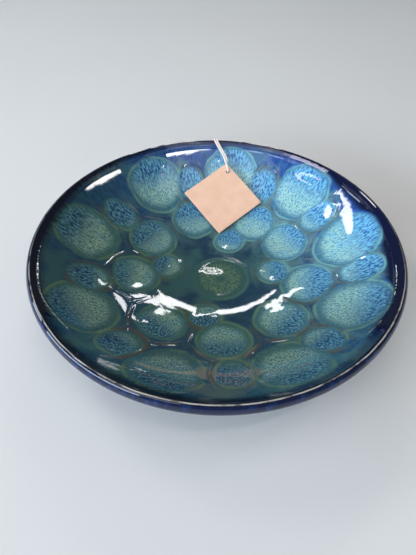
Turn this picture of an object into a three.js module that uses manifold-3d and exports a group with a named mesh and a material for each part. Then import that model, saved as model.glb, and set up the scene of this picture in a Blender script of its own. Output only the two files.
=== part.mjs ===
// Shallow serving bowl: a wheel-thrown stoneware body with a trimmed foot ring, a thick glaze over
// rings of thumb-pressed hollows inside, a dark glaze over the rim and outside, and a square card
// tag on a doubled string that hangs over the far side of the rim.
// Millimetres, +Z up. The origin is the centre of the foot's resting plane; the tag lies on the +Y wall.
import * as THREE from "three";
import { mergeVertices } from "three/addons/utils/BufferGeometryUtils.js";
import Module from "manifold-3d";

const wasm = await Module();
wasm.setup();

// Bowl: the inside surface, the well, rises from its floor by depth * (r / crest radius) ^ power
const RIM_RADIUS = 150; // widest, just below the lip
const CREST_INSET = 4.3; // from the widest radius in to the crest of the lip
const LIP_DROP = 6; // from the crest down to the widest radius
const LIP_BLEND = 11; // from the crest in to where the underside of the lip runs out into the wall
const WELL_DEPTH = 51;
const WELL_POWER = 2.87;
const WALL = 5.5; // clay, square to the well
const FOOT_RADIUS = 72; // outside of the foot ring
const FOOT_WIDTH = 7;
const FOOT_RECESS = 7; // from the table up to the base inside the foot ring
const FOOT_EDGE = 1; // chamfer on each edge of the foot ring
const FOOT_FLARE = 2.5; // how much wider the foot ring is where it leaves the wall

// Glaze coats
const WELL_COAT = 2.2; // over the ridges between the hollows
const RIM_COAT = 0.8; // over the lip and outside
const BASE_COAT = 0.6; // inside the foot ring
const BAND = 7; // dark band inside the crest
const COAT_TAPER = 10; // below the band, where the well's coat thins to the rim's and the hollows run out
const FIT_GAP = 0.3; // between two pieces that touch
const BARE_FOOT = 4; // from the foot ring out to the lower edge of the outside coat

// Hollows: rings of shallow presses, each set by hand a few degrees (nudge) and millimetres outwards (slide)
// off its even place. A press runs further towards the bowl's middle than towards the rim, by its reach.
const HOLLOW_RINGS = [
  {
    radius: 119, along: 27, across: 22.3, reach: 1.25, depth: 0.9, turn: 10.5,
    nudge: [2, 2, 0, -3, 0, -2, -2, 1, 1], slide: [0, 2, 0, -1, 0, 0, 0, 0, 0],
  },
  {
    radius: 112, along: 14.5, across: 15.5, reach: 1.1, depth: 0.7, turn: 31,
    nudge: [5, 2, 0, 1, 1, -3, 0, -1, 2], slide: [0, 0, -2, -4, -4, 0, 0, 1, 8],
  },
  {
    radius: 74, along: 21.5, across: 20, reach: 1.08, depth: 0.4, turn: 30,
    nudge: [5, -2, 4, 0, -6, -1, 0, 2, 0], slide: [1, 1, 0, -1, -3, -3, 0, 0, 6],
  },
  {
    radius: 47, along: 14.5, across: 14, reach: 1, depth: 0.35, turn: -7,
    nudge: [13, -2, -4, -9], slide: [5, 0, -2, 0],
  },
];
const RING_DRIFT = 6.3; // degrees by which the presses crowd towards +X
const DISH_RADIUS = 24.5; // round hollow in the middle
const DISH_DEPTH = 0.8;
const DISH_SHIFT = new THREE.Vector2(4.5, -1.7); // the dish's middle, off the rim's axis

// Tag: a square card hung by one corner, its tip
const CARD_SIDE = 55;
const CARD_THICKNESS = 0.6;
const HOLE_RADIUS = 2;
const HOLE_FROM_LEFT = 8; // hole's middle to the card's upper left edge
const HOLE_FROM_RIGHT = 5;
const TIP_DROP = 22.5; // from the crest in to the tip
const TIP_SIDE = 7.3; // from the YZ plane to the tip
const TIP_LIFT = 7; // from the well up to the tip
const CARD_LEAN = 3; // degrees, left side up
const CARD_TURN = -4; // degrees, in its own plane
const CARD_CLEARANCE = 0.5; // least height of a lower corner over the well

// String: a loop through the card's hole, its two strands side by side over the rim
const STRING = 1.5; // diameter
const STRAND_PITCH = 2.2; // between the strands where they cross the rim
const KNOT_PITCH = 1.9; // between the strands where they enter the knot
const CROSSING_SIDE = -4.5; // from the YZ plane to where they cross the rim
const HUMP = 1.2; // string's middle over the crest
const LEG_BEND = 6; // how far inside the crest the string starts to bend over it
const LEG_LEAD = 5; // how far the string runs on in line with the card before it turns to the rim
const FALL_STANDOFF = 1.6; // string's middle out from the widest radius
const EYE_RADIUS = 3; // bend of the string in the card's hole
const EYE_GAPE = 1.3; // string's middle from the card's middle plane at the tip
const BEND_RISE = 4; // from the tip up to where the strands lie side by side and bend
const BEND_GAP = 0.95; // between two stretches of string, where it bends
const KNOT_HEIGHT = 14; // top of the knot above the table
const KNOT_LENGTH = 5.5;
const KNOT_RADIUS = 2.6;
const TAIL = 5; // string ends below the knot

// Facets
const HOLLOW_SEGMENTS = 100;
const HOLLOW_ROWS = 20;
const BODY_SEGMENTS = 50;
const WELL_ROWS = 9;
const WALL_ROWS = 6;
const BAND_ROWS = 3;
const LIP_ROWS = 4;
const STRING_SIDES = 8;
const LEG_STEPS = 9;
const EYE_STEPS = 16;
const EYE_POINTS = 4; // points that hold the bend in the hole round
const FALL_STEPS = 20;
const FALL_DROPS = 5; // points that hold the hanging stretch straight
const KNOT_ROWS = 6;

const CREST_RADIUS = RIM_RADIUS - CREST_INSET;
const BAND_RADIUS = CREST_RADIUS - BAND;
const LIP_END = CREST_RADIUS - LIP_BLEND;
const WELL_FLOOR = FOOT_RECESS + WALL + FIT_GAP + WELL_COAT;
const HEIGHT = WELL_FLOOR + WELL_DEPTH;
const OUTSIDE = WELL_COAT + FIT_GAP + WALL + FIT_GAP + RIM_COAT; // well to the glazed outside
const FOOT_INSIDE = FOOT_RADIUS - FOOT_WIDTH;
const TIP_RADIUS = CREST_RADIUS - TIP_DROP;
const STRING_RADIUS = STRING / 2;

const STONEWARE = new THREE.MeshStandardMaterial({ color: 0xa9825c, roughness: 0.85, metalness: 0 });
const WELL_GLAZE = new THREE.MeshStandardMaterial({ color: 0x2f6d86, roughness: 0.12, metalness: 0 });
const RIM_GLAZE = new THREE.MeshStandardMaterial({ color: 0x14203c, roughness: 0.15, metalness: 0 });
const CARD = new THREE.MeshStandardMaterial({ color: 0xf5cdb4, roughness: 0.9, metalness: 0 });
const COTTON = new THREE.MeshStandardMaterial({ color: 0xf0d6c8, roughness: 0.95, metalness: 0 });

const { degToRad, lerp, smoothstep } = THREE.MathUtils;

function named(name, geometry, material) {
  const mesh = new THREE.Mesh(geometry, material);
  mesh.name = name;
  return mesh;
}

function spaced(from, to, count) {
  return Array.from({ length: count + 1 }, (_, i) => lerp(from, to, i / count));
}

// A closed disc or ring turned about Z from (radius, height) points that run up, or inwards over the top.
function turned(profile, segments) {
  return new THREE.LatheGeometry(profile, segments).rotateX(Math.PI / 2);
}

function wellHeight(r) {
  return WELL_FLOOR + WELL_DEPTH * (r / CREST_RADIUS) ** WELL_POWER;
}

// The point at radius r of the well, moved square to it into the wall.
function wellPoint(r, into) {
  const slope = ((WELL_DEPTH * WELL_POWER) / CREST_RADIUS) * (r / CREST_RADIUS) ** (WELL_POWER - 1);
  const square = into / Math.hypot(slope, 1);
  return new THREE.Vector2(r + slope * square, wellHeight(r) - square);
}

// Radii for the turned faces under the well's glaze, closer together towards the steep edge.
function wellRows(edge) {
  return spaced(0, 1, WELL_ROWS).map((share) => edge * Math.sqrt(share));
}

// Below the dark band the well's glaze thins from its full coat, 1, to the rim's, 0.
function fullness(r) {
  return 1 - smoothstep(r, BAND_RADIUS - COAT_TAPER, BAND_RADIUS);
}

function wellCoat(r) {
  return lerp(RIM_COAT, WELL_COAT, fullness(r));
}

// The glazed outline from the band, over the lip and down the outside to the bare foot.
function glazedOutline() {
  const widest = new THREE.Vector2(RIM_RADIUS, HEIGHT - LIP_DROP);
  const lip = new THREE.EllipseCurve(CREST_RADIUS, widest.y, CREST_INSET, LIP_DROP, Math.PI / 2, 0, true);
  const end = wellPoint(LIP_END, OUTSIDE);
  const ahead = end.clone().sub(wellPoint(LIP_END - LIP_BLEND, OUTSIDE));
  const corner = new THREE.Vector2(RIM_RADIUS, end.y + ((RIM_RADIUS - end.x) * ahead.y) / ahead.x);
  const under = new THREE.QuadraticBezierCurve(widest, corner, end);
  const wall = spaced(LIP_END, FOOT_RADIUS + BARE_FOOT, WALL_ROWS);
  return [
    ...spaced(BAND_RADIUS, CREST_RADIUS, BAND_ROWS).map((r) => wellPoint(r, 0)),
    ...lip.getPoints(LIP_ROWS).slice(1),
    ...under.getPoints(LIP_ROWS).slice(1),
    ...wall.slice(1).map((r) => wellPoint(r, OUTSIDE)),
  ];
}

// An open outline moved square to itself, to the right of the way it runs.
function inset(outline, distance) {
  return outline.map((point, i) => {
    const before = outline[Math.max(i - 1, 0)];
    const after = outline[Math.min(i + 1, outline.length - 1)];
    const along = after.clone().sub(before).normalize();
    return new THREE.Vector2(point.x + along.y * distance, point.y - along.x * distance);
  });
}

// Clay body: well, rim, wall and foot ring in one thrown and trimmed piece.
function clayBody() {
  const inside = wellRows(BAND_RADIUS).slice(0, -1);
  const outside = inset(glazedOutline(), RIM_COAT + FIT_GAP);
  const profile = [
    ...inside.map((r) => wellPoint(r, wellCoat(r) + FIT_GAP)),
    ...outside,
    new THREE.Vector2(FOOT_RADIUS + FOOT_FLARE, outside.at(-1).y - FOOT_FLARE),
    new THREE.Vector2(FOOT_RADIUS, FOOT_EDGE),
    new THREE.Vector2(FOOT_RADIUS - FOOT_EDGE, 0),
    new THREE.Vector2(FOOT_INSIDE + FOOT_EDGE, 0),
    new THREE.Vector2(FOOT_INSIDE, FOOT_EDGE),
    new THREE.Vector2(FOOT_INSIDE - FOOT_EDGE, FOOT_RECESS),
    new THREE.Vector2(0, FOOT_RECESS),
  ];
  return turned(profile.reverse(), BODY_SEGMENTS);
}

// Rim glaze: the dark coat over the band, the lip and the outside wall.
function rimGlaze() {
  const outline = glazedOutline();
  const coat = [...inset(outline, RIM_COAT), ...outline.reverse()];
  return turned([...coat, coat[0]], BODY_SEGMENTS);
}

function baseGlaze() {
  const radius = FOOT_INSIDE - FOOT_EDGE - 2 * FIT_GAP;
  const top = FOOT_RECESS - FIT_GAP;
  const bottom = top - BASE_COAT;
  const profile = [[0, bottom], [radius, bottom], [radius, top], [0, top]];
  return turned(profile.map(([r, z]) => new THREE.Vector2(r, z)), BODY_SEGMENTS);
}

// The hollows as ellipses on the bowl's plan: middle, direction outwards, half sizes, reach and depth.
function hollows() {
  const pressed = HOLLOW_RINGS.flatMap(({ radius, turn, nudge, slide, ...size }) =>
    nudge.map((off, k) => {
      const even = degToRad(turn + (360 * k) / nudge.length);
      const angle = even - degToRad(RING_DRIFT) * Math.sin(even) + degToRad(off);
      const outwards = new THREE.Vector2(Math.cos(angle), Math.sin(angle));
      return { middle: outwards.clone().multiplyScalar(radius + slide[k]), outwards, ...size };
    }),
  );
  const round = { along: DISH_RADIUS, across: DISH_RADIUS, reach: 1, depth: DISH_DEPTH };
  return [...pressed, { middle: DISH_SHIFT, outwards: new THREE.Vector2(1, 0), ...round }];
}

const HOLLOWS = hollows();

// How deep the presses go at a point of the plan: the deepest of the hollows that reach it.
function pressDepth(x, y) {
  const depths = HOLLOWS.map(({ middle, outwards, along, across, reach, depth }) => {
    const from = new THREE.Vector2(x, y).sub(middle);
    const rimwards = from.dot(outwards) / across;
    const out = Math.max(rimwards, rimwards / reach);
    const beside = from.cross(outwards) / along;
    return depth * (1 - out * out - beside * beside);
  });
  return Math.max(0, ...depths);
}

// Well glaze: a turned coat whose upper face is then pressed into its hollows.
function wellGlaze() {
  const edge = BAND_RADIUS - FIT_GAP;
  const under = wellRows(edge).map((r) => wellPoint(r, wellCoat(r)));
  const rows = spaced(edge, 0, HOLLOW_ROWS);
  const profile = [...under, ...rows.map((r) => wellPoint(r, 0))];
  const coat = turned(profile, HOLLOW_SEGMENTS);
  const place = coat.getAttribute("position");
  for (let i = 0; i < place.count; i++) {
    const r = rows[(i % profile.length) - under.length];
    if (r > 0) {
      const pressed = wellPoint(r, fullness(r) * pressDepth(place.getX(i), place.getY(i)));
      const inwards = pressed.x / r;
      place.setXYZ(i, place.getX(i) * inwards, place.getY(i) * inwards, pressed.y);
    } else if (r === 0) {
      place.setZ(i, WELL_FLOOR - pressDepth(0, 0));
    }
  }
  return coat;
}

// Card in its own plane: the tip at the origin, the diagonal hanging along -Y, the face towards +Z.
const HALF_DIAGONAL = CARD_SIDE / Math.SQRT2;
const CARD_CORNERS = [
  new THREE.Vector3(-HALF_DIAGONAL, -HALF_DIAGONAL, 0),
  new THREE.Vector3(0, -2 * HALF_DIAGONAL, 0),
  new THREE.Vector3(HALF_DIAGONAL, -HALF_DIAGONAL, 0),
];
const HOLE = new THREE.Vector2(HOLE_FROM_LEFT - HOLE_FROM_RIGHT, -HOLE_FROM_LEFT - HOLE_FROM_RIGHT);
HOLE.divideScalar(Math.SQRT2);

function tagCard() {
  const corners = CARD_CORNERS.map((c) => new THREE.Vector2(c.x, c.y));
  const outline = new THREE.Shape([new THREE.Vector2(), ...corners]);
  outline.holes.push(new THREE.Path().absarc(HOLE.x, HOLE.y, HOLE_RADIUS, 0, 2 * Math.PI));
  const card = new THREE.ExtrudeGeometry(outline, { depth: CARD_THICKNESS, bevelEnabled: false });
  return card.translate(0, 0, -CARD_THICKNESS / 2);
}

// The card's tip hangs on the string, and its slope is the one at which a lower corner meets the well.
function hungTag() {
  const tag = new THREE.Group();
  const away = Math.sqrt(TIP_RADIUS ** 2 - TIP_SIDE ** 2);
  tag.position.set(TIP_SIDE, away, wellHeight(TIP_RADIUS) + TIP_LIFT);
  const clear = CARD_CLEARANCE + CARD_THICKNESS / 2;
  let flat = 0;
  let steep = Math.PI / 2;
  while (steep - flat > Number.EPSILON * Math.PI) {
    const slope = (flat + steep) / 2;
    tag.rotation.set(slope, degToRad(CARD_LEAN), degToRad(CARD_TURN));
    tag.updateMatrixWorld();
    const heights = CARD_CORNERS.map((corner) => {
      const { x, y, z } = tag.localToWorld(corner.clone());
      return z - wellHeight(Math.hypot(x, y));
    });
    if (Math.min(...heights) > clear) flat = slope;
    else steep = slope;
  }
  return tag;
}

function stringAlong(path, steps) {
  const section = new THREE.Shape().absarc(0, 0, STRING_RADIUS, 0, 2 * Math.PI);
  const sides = STRING_SIDES / 2; // a full circle takes two points for each
  return new THREE.ExtrudeGeometry(section, { extrudePath: path, steps, curveSegments: sides });
}

// A point by the card's tip: down towards the hole, sideways in the card's plane, and proud of it.
const TO_HOLE = HOLE.clone().normalize();
function tipPoint(down, side, proud) {
  return new THREE.Vector3(TO_HOLE.x * down - TO_HOLE.y * side, TO_HOLE.y * down + TO_HOLE.x * side, proud);
}

// Eye: the string from its bend down the card's face, through the hole and back up behind the card.
function stringEye() {
  const middle = HOLE.length() - EYE_RADIUS;
  const round = spaced(0, Math.PI, EYE_POINTS).map((turn) =>
    tipPoint(middle + EYE_RADIUS * Math.sin(turn), 0, EYE_RADIUS * Math.cos(turn)),
  );
  const [left, right] = [-STRAND_PITCH / 2, STRAND_PITCH / 2];
  const points = [
    tipPoint(-BEND_RISE, left, 0),
    tipPoint(0, left / 2, EYE_GAPE),
    ...round,
    tipPoint(0, right / 2, -EYE_GAPE),
    tipPoint(-BEND_RISE, right, 0),
  ];
  return stringAlong(new THREE.CatmullRomCurve3(points), EYE_STEPS);
}

// A point by the rim where the string crosses it: outwards from the crest, above it, and along it.
const CROSSING_AWAY = Math.sqrt(CREST_RADIUS ** 2 - CROSSING_SIDE ** 2);
const OUTWARDS = new THREE.Vector3(CROSSING_SIDE, CROSSING_AWAY, 0).divideScalar(CREST_RADIUS);
const ALONG_RIM = new THREE.Vector3(OUTWARDS.y, -OUTWARDS.x, 0);
function rimPoint(out, up, along) {
  const point = OUTWARDS.clone().multiplyScalar(CREST_RADIUS + out);
  return point.addScaledVector(ALONG_RIM, along).setZ(HEIGHT + up);
}

// Leg: one strand from the bend by the tip up to the crest.
function stringLeg(tag, side) {
  const along = (side * STRAND_PITCH) / 2;
  const [start, lead] = [BEND_GAP, LEG_LEAD].map((on) =>
    tag.localToWorld(tipPoint(-BEND_RISE - on, along, 0)),
  );
  const bend = rimPoint(-LEG_BEND, HUMP, along);
  const crest = rimPoint(-BEND_GAP / 2, HUMP, along);
  return stringAlong(new THREE.CubicBezierCurve3(start, lead, bend, crest), LEG_STEPS);
}

// Fall: one strand from the crest over the lip and down outside to the knot.
const FALL_OUT = CREST_INSET + FALL_STANDOFF;
function stringFall(side) {
  const over = spaced(Math.PI / 2, 0, LIP_ROWS).map((turn) => {
    const out = lerp(BEND_GAP / 2, FALL_OUT, Math.cos(turn));
    const up = lerp(-LIP_DROP, HUMP, Math.sin(turn));
    return rimPoint(out, up, (side * STRAND_PITCH) / 2);
  });
  const hang = spaced(-LIP_DROP, KNOT_HEIGHT + FIT_GAP - HEIGHT, FALL_DROPS).map((up, i) => {
    const pitch = lerp(STRAND_PITCH, KNOT_PITCH, i / FALL_DROPS);
    return rimPoint(FALL_OUT, up, (side * pitch) / 2);
  });
  return stringAlong(new THREE.CatmullRomCurve3([...over, ...hang.slice(1)]), FALL_STEPS);
}

function solidOf(geometry) {
  geometry.deleteAttribute("normal");
  geometry.deleteAttribute("uv");
  const { index, attributes } = mergeVertices(geometry);
  const triVerts = new Uint32Array(index.array);
  const mesh = new wasm.Mesh({ numProp: 3, vertProperties: attributes.position.array, triVerts });
  return new wasm.Manifold(mesh);
}

function fused(geometries) {
  const { vertProperties, triVerts } = geometries.map(solidOf).reduce((all, next) => all.add(next)).getMesh();
  const position = new THREE.BufferAttribute(vertProperties, 3);
  return new THREE.BufferGeometry()
    .setAttribute("position", position)
    .setIndex(new THREE.BufferAttribute(triVerts, 1));
}

// Knot: the barrel that joins the strands, with their two cut ends below it.
function stringKnot() {
  const half = KNOT_LENGTH / 2;
  const barrel = spaced(-Math.PI / 2, Math.PI / 2, KNOT_ROWS).map(
    (turn) => new THREE.Vector2(KNOT_RADIUS * Math.cos(turn), half * Math.sin(turn)),
  );
  const knot = turned(barrel, 2 * STRING_SIDES);
  const tails = [-1, 1].map((side) => {
    const end = new THREE.CylinderGeometry(STRING_RADIUS, STRING_RADIUS, TAIL + half, STRING_SIDES);
    return end.rotateX(Math.PI / 2).translate((side * KNOT_PITCH) / 2, 0, -(TAIL + half) / 2);
  });
  const middle = rimPoint(FALL_OUT, KNOT_HEIGHT - half - HEIGHT, 0);
  return fused([knot, ...tails]).translate(middle.x, middle.y, middle.z);
}

const tag = hungTag();
tag.add(named("swing_tag", tagCard(), CARD));
tag.add(named("string_eye", stringEye(), COTTON));

const bowl = new THREE.Group();
bowl.add(named("clay_body", clayBody(), STONEWARE));
bowl.add(named("well_glaze", wellGlaze(), WELL_GLAZE));
bowl.add(named("rim_glaze", rimGlaze(), RIM_GLAZE));
bowl.add(named("base_glaze", baseGlaze(), RIM_GLAZE));
bowl.add(named("string_knot", stringKnot(), COTTON));
for (const [name, side] of [["left", -1], ["right", 1]]) {
  bowl.add(named(`string_leg_${name}`, stringLeg(tag, side), COTTON));
  bowl.add(named(`string_fall_${name}`, stringFall(side), COTTON));
}
bowl.add(tag);

export default bowl;
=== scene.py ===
"""A shallow stoneware serving bowl, pressed with rings of hollows under a reactive glaze, with a card tag
hung over its rim on a doubled string.

Metres, +Z up from the floor, +Y towards the tag. Radii are measured from the bowl's axis.
"""

import math
import random
from collections import namedtuple
from types import SimpleNamespace

import bmesh
import bpy
from mathutils import Matrix, Vector
from mathutils.geometry import interpolate_bezier


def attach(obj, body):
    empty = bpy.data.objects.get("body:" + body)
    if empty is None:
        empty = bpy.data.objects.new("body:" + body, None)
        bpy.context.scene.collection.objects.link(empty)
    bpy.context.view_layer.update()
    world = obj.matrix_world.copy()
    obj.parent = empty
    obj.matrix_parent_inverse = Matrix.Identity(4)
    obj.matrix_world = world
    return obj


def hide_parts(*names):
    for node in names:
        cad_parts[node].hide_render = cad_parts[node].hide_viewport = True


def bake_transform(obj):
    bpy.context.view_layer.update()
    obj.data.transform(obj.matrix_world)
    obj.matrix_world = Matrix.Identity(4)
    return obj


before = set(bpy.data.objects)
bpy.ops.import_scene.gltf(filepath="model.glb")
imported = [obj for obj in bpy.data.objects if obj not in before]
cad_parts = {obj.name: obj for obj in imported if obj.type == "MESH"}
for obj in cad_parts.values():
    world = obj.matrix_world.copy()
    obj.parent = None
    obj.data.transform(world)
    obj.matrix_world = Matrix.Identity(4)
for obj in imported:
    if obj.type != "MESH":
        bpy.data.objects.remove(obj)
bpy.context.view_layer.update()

# Bowl
RIM_RADIUS = 0.150
CREST_INSET = 0.0043
LIP_DROP = 0.006
LIP_BLEND = 0.011
WELL_DEPTH = 0.051
WELL_POWER = 2.87
WALL = 0.0055
FOOT_RADIUS = 0.072
FOOT_WIDTH = 0.007
FOOT_RECESS = 0.007
FOOT_EDGE = 0.001
FOOT_FLARE = 0.0025
BARE_FOOT = 0.004

# Glaze coats
WELL_COAT = 0.0022
RIM_COAT = 0.0008
BASE_COAT = 0.0006
BAND = 0.007
COAT_TAPER = 0.010
FIT_GAP = 0.0003

# Hollows: rings of presses, each set by hand a few degrees (nudge) and metres outwards (slide) off its even
# place. A press runs further towards the bowl's middle than towards the rim, by its reach. Milk is how far
# the glaze in it pools pale.
Ring = namedtuple("Ring", "radius along across reach depth turn milk nudge slide")
HOLLOW_RINGS = (
    Ring(
        radius=0.119, along=0.027, across=0.0223, reach=1.25, depth=0.0009, turn=10.5, milk=0.7,
        nudge=(2, 2, 0, -3, 0, -2, -2, 1, 1),
        slide=(0, 0.002, 0, -0.001, 0, 0, 0, 0, 0),
    ),
    Ring(
        radius=0.112, along=0.0145, across=0.0155, reach=1.1, depth=0.0007, turn=31, milk=0.1,
        nudge=(5, 2, 0, 1, 1, -3, 0, -1, 2),
        slide=(0, 0, -0.002, -0.004, -0.004, 0, 0, 0.001, 0.008),
    ),
    Ring(
        radius=0.074, along=0.0215, across=0.020, reach=1.08, depth=0.0004, turn=30, milk=0.75,
        nudge=(5, -2, 4, 0, -6, -1, 0, 2, 0),
        slide=(0.001, 0.001, 0, -0.001, -0.003, -0.003, 0, 0, 0.006),
    ),
    Ring(
        radius=0.047, along=0.0145, across=0.014, reach=1, depth=0.00035, turn=-7, milk=0.4,
        nudge=(13, -2, -4, -9),
        slide=(0.005, 0, -0.002, 0),
    ),
)
MILK_SPREAD = 0.2
TONE_SEED = 11
RING_DRIFT = math.radians(6.3)
DISH_RADIUS = 0.0245
DISH_DEPTH = 0.00055
DISH_MIDDLE = Vector((0.0045, -0.0017, 0))
HOLLOW_SOFTNESS = 2.0
DISH_SOFTNESS = 1.25
RIDGE_SOFTNESS = 0.0001
FAR_OFF = 9.0

# Hand and kiln: the plan of the hollows wobbles, the dish's by a share of it. The unevenness and the ripple
# of the glaze die down to a share between the calm radii. Patches are counted in a metre.
WOBBLE = 0.005
WOBBLE_PATCHES = 42.0
DISH_WOBBLE = 0.08
UNEVENNESS = 0.00003
UNEVEN_PATCHES = 55.0
RIPPLE_PATCHES = 130.0
RIPPLE_RISE = 0.00002
PORE_PATCHES = 700.0
PORE_RISE = 0.000002
CALM_RADII = (0.055, 0.032)
CALM_SHARE = 0.04

# Relief of the ridges between hollows, and of the bead below the dark band, which lies at these distances
# from the crest on the far side and the near side
RIDGE_RISE = 0.00035
RIDGE_HALF = 0.0025
BEAD_PLACE = (0.0075, 0.0215)
BEAD_RISE = 0.0006
BEAD_HALF = 0.0020

# Tag
CARD_SIDE = 0.055
CARD_THICKNESS = 0.0006
HOLE_RADIUS = 0.002
HOLE_FROM_LEFT = 0.008
HOLE_FROM_RIGHT = 0.005
TIP_DROP = 0.0225
TIP_SIDE = 0.0073
TIP_LIFT = 0.007
CARD_SLOPE = math.radians(26.866)
CARD_LEAN = math.radians(3)
CARD_TURN = math.radians(-4)
CARD_CURL = 0.0006
CARD_WAVE = 0.25
CARD_SPOKES = 96
CARD_ROUNDS = 22
CARD_EDGE_THIN = 0.35

# String: it is laid fuller than its width, because of the grooves between its plies
STRING = 0.0015
PLIES = 3
LAY_LENGTH = 0.0048
LAID_FULL = 1.28
PLY_FULL = 1.12
PLY_SIDES = 10
CORD_STEP = 0.0004
STRAND_PITCH = 0.0022
KNOT_PITCH = 0.0019
CROSSING_SIDE = -0.0045
HUMP = 0.0012
LEG_BEND = 0.006
LEG_LEAD = 0.005
FALL_STANDOFF = 0.0016
EYE_RADIUS = 0.003
EYE_GAPE = 0.0013
BEND_RISE = 0.004
KNOT_HEIGHT = 0.014
KNOT_LENGTH = 0.0055
KNOT_RADIUS = 0.0026
KNOT_TURNS = 2.4
PATH_STEPS = 8
WRAP_POINTS = 60
LEG_POINTS = 40
TAIL = 0.005
TAIL_SPLAY = 0.7

# Fineness of the turned pieces: points on each stretch of the outline, steps along it and passes that
# round it, rows down the inside, and columns round the axis
WALL_POINTS = 60
UNDER_POINTS = 16
LIP_POINTS = 24
BAND_POINTS = 14
RIM_ROUNDING = 3
FOOT_ROUNDING = 2
OUTLINE_STEP = 0.0008
FOOT_STEP = 0.0005
BASE_STEP = 0.0004
WELL_ROWS = 150
CLAY_ROWS = 24
HIDDEN_ROWS = 10
HIDDEN_SKIP = 4
GLAZE_COLUMNS = 520
CLAY_COLUMNS = 320
BASE_COLUMNS = 200
MERGE = 0.000001
SHARP_FOLD = math.radians(40)

CREST_RADIUS = RIM_RADIUS - CREST_INSET
BAND_RADIUS = CREST_RADIUS - BAND
LIP_END = CREST_RADIUS - LIP_BLEND
WELL_FLOOR = FOOT_RECESS + WALL + FIT_GAP + WELL_COAT
HEIGHT = WELL_FLOOR + WELL_DEPTH
OUTSIDE = WELL_COAT + FIT_GAP + WALL + FIT_GAP + RIM_COAT
FOOT_INSIDE = FOOT_RADIUS - FOOT_WIDTH
TIP_RADIUS = CREST_RADIUS - TIP_DROP

# Glaze colours, from the green side of the bowl to the blue side
FROTH = ((0.380, 0.510, 0.330), (0.480, 0.740, 0.680))
POOL = ((0.250, 0.395, 0.275), (0.310, 0.580, 0.550))
SHADE = ((0.082, 0.196, 0.190), (0.150, 0.410, 0.540))
MOTTLE = ((0.082, 0.228, 0.280), (0.160, 0.460, 0.670))
SPECK = ((0.005, 0.028, 0.072), (0.022, 0.095, 0.330))
CLEAR = ((0.040, 0.105, 0.095), (0.058, 0.168, 0.265))
LAND = ((0.018, 0.072, 0.112), (0.028, 0.095, 0.350))
OUTLINE = ((0.125, 0.205, 0.090), (0.190, 0.450, 0.470))
NAVY = (0.006, 0.024, 0.075)
BROWN = (0.078, 0.070, 0.045)
# Pale crest line: thinned glaze, lightened as a painted highlight
CREST_PALE_AND_HIGHLIGHT = (0.60, 0.54, 0.47)
DISH_GREEN = (0.042, 0.104, 0.085)
DISH_STREAK = (0.150, 0.240, 0.120)
BAND_NAVY = ((0.003, 0.006, 0.018), (0.003, 0.006, 0.030))
SAGE = (0.150, 0.290, 0.270)
OUTER_NAVY = (0.006, 0.012, 0.045)
OUTER_BLUE = (0.016, 0.050, 0.17)
STONEWARE = ((0.36, 0.22, 0.12), (0.47, 0.31, 0.18))
IRON = (0.10, 0.045, 0.02)
CARD_FACE = ((0.88, 0.535, 0.365), (0.94, 0.585, 0.41))
CARD_FIBRE = (0.76, 0.47, 0.33)
COTTON = ((0.83, 0.66, 0.57), (0.97, 0.87, 0.80))
FLOOR = ((0.70, 0.69, 0.67), (0.76, 0.75, 0.73))

# Glaze patterns, in patches a metre; streaks and flows are given for the far side and the near side. A
# flow keeps its true size at its radius, and is drawn out towards the bowl's axis: 1 keeps it, 0 makes rays.
CLOUDS = 16.0
PATCHES = 36.0
DRIFTS = 70.0
STREAKS = (380.0, 540.0)
NETS = 600.0
FLECKS = 850.0
RAYS = 190.0
BLOTCHES = 150.0
GLAZE_SPECKS = 420.0
FLOW_RADIUS = 0.12
LONG_DRAW = (0.28, 0.60)
SHORT_DRAW = (0.45, 0.85)
RAY_DRAW = 0.25
BLUE_WAY = (4.2, 5.5, 0)

# Patterns of the other finishes, in patches a metre, and how far they stand up
BRUSH_MARKS = 260.0
BRUSH_RISE = 0.00003
BASE_SPECKS = 380.0
CLAY_SPECKS = 500.0
CLAY_CLOUDS = 60.0
TURNING_RINGS = 900.0
TURNING_RISE = 0.00012
GRIT = 1600.0
GRIT_RISE = 0.00006
CARD_CLOUDS = 90.0
FIBRES_ACROSS = 2600.0
FIBRES_ALONG = 2300.0
FIBRE_RISE = 0.00003
COTTON_FIBRES = 260.0
COTTON_SLUBS = 190.0
COTTON_RISE = 0.00008

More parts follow.
